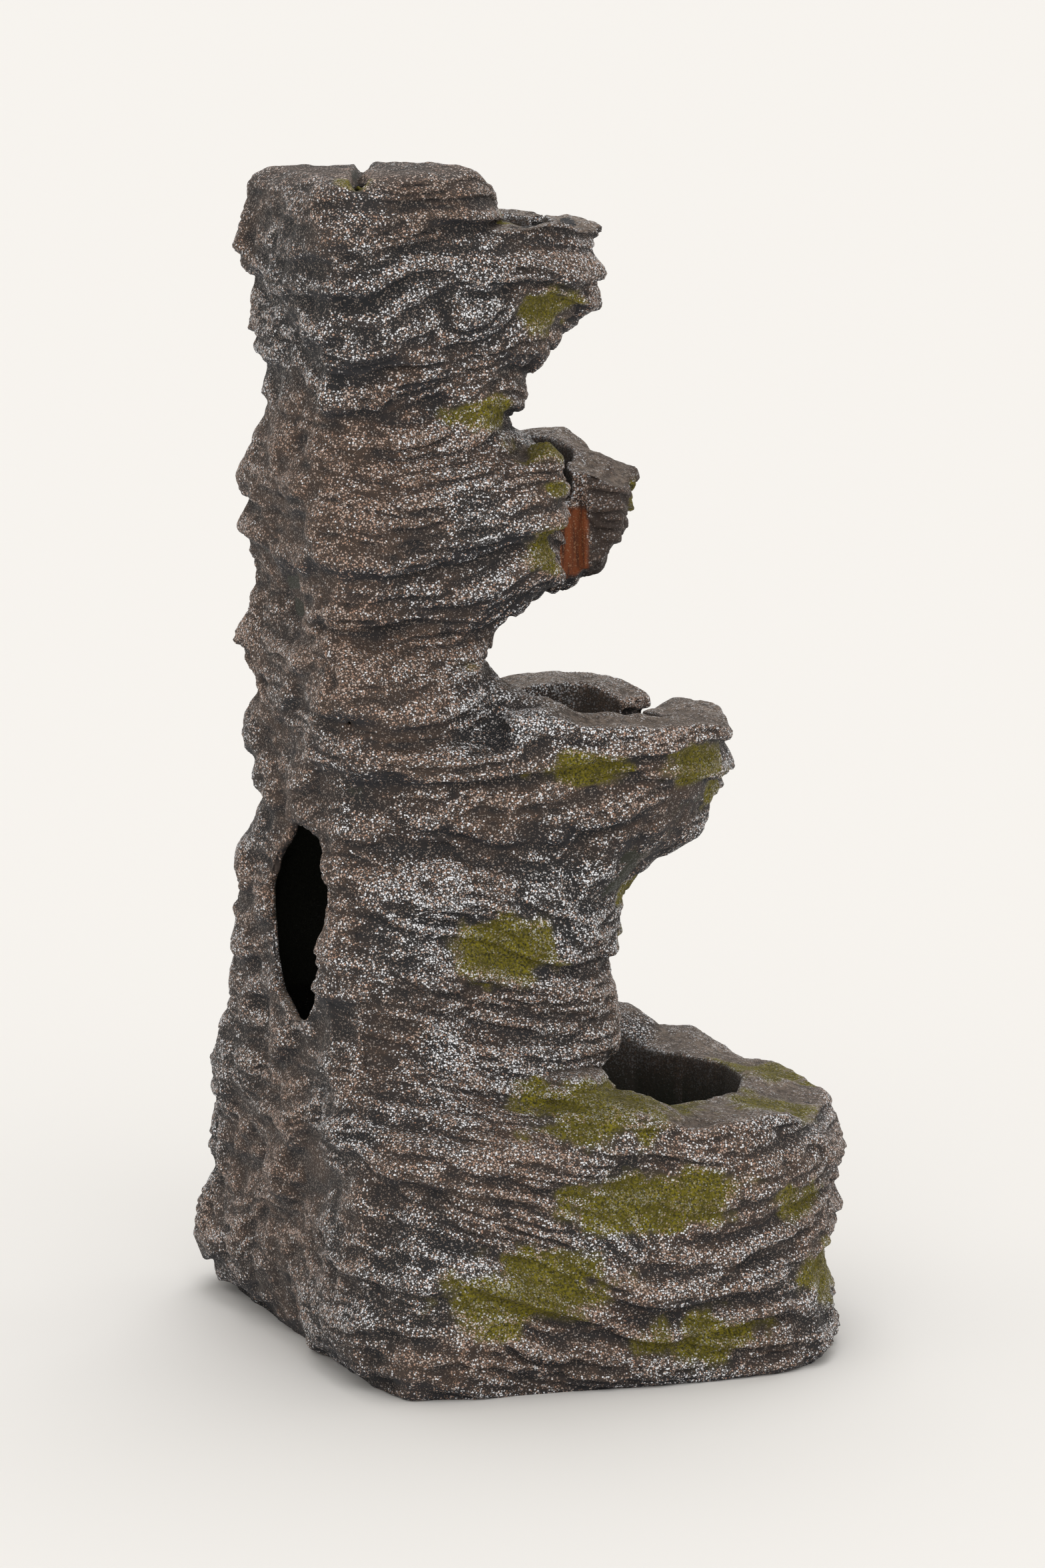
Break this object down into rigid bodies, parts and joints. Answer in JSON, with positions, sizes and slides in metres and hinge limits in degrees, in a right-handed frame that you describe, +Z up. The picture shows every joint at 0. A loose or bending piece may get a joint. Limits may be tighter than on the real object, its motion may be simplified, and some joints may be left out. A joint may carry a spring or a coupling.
{
  "type": "cascading rock water feature",
  "caption": "Tall self-contained garden water feature shaped as layered rock, with stacked spill bowls over a catch basin and an access hole in its flat back.",
  "frame": {"origin": "middle of the footprint on the ground", "axes": "+Z up, -Y towards the side that the bowls face, +Y towards the flat back panel"},
  "size_m": [0.5404, 0.4839, 0.974],
  "materials": {
    "rock": "speckled granular rock-effect polyresin, dark brown-grey with white and tan grit",
    "back_rock": "speckled granular rock-effect polyresin, a little browner",
    "pump_plastic": "black moulded plastic, semi-gloss",
    "rotor_magnet": "sintered ferrite, dull",
    "impeller_plastic": "blue moulded plastic",
    "shaft_ceramic": "polished ceramic",
    "rubber": "black rubber, matt",
    "sponge": "open-cell filter sponge",
    "hose": "dark flexible vinyl hose",
    "clamp_steel": "stainless band"
  },
  "bodies": {
    "housing": {"base_basin": "rock", "middle_tier": "rock", "upper_tier": "rock", "top_tier": "rock", "crown_cap": "rock", "back_panel": "back_rock", "pump_body": "pump_plastic", "impeller_cover": "pump_plastic", "cover_o_ring": "rubber", "rotor_shaft": "shaft_ceramic", "bush_front": "rubber", "bush_rear": "rubber", "cable_gland": "rubber", "suction_foot_1": "rubber", "suction_foot_2": "rubber", "suction_foot_3": "rubber", "suction_foot_4": "rubber", "riser_hose": "hose", "hose_clamp_lower": "clamp_steel", "hose_clamp_upper": "clamp_steel", "hose_grommet_1": "rubber", "hose_grommet_2": "rubber", "hose_grommet_3": "rubber", "spout_elbow": "pump_plastic", "spout_grommet": "rubber"},
    "rotor": {"rotor_magnet": "rotor_magnet", "impeller": "impeller_plastic"},
    "intake": {"intake_cage": "pump_plastic", "filter_sponge": "sponge"},
    "dial": {"flow_dial": "pump_plastic"}
  },
  "joints": [
    {"name": "impeller_spin", "type": "hinge", "parent": "housing", "child": "rotor", "pos_m": [0, 0.108, 0.05], "axis": [1, 0, 0], "continuous": true},
    {"name": "intake_slide", "type": "slide", "parent": "housing", "child": "intake", "axis": [-1, 0, 0], "range_m": [0, 0.04]},
    {"name": "flow_dial_turn", "type": "hinge", "parent": "intake", "child": "dial", "pos_m": [-0.04, 0.108, 0.05], "axis": [1, 0, 0], "range_deg": [0, 90]}
  ]
}
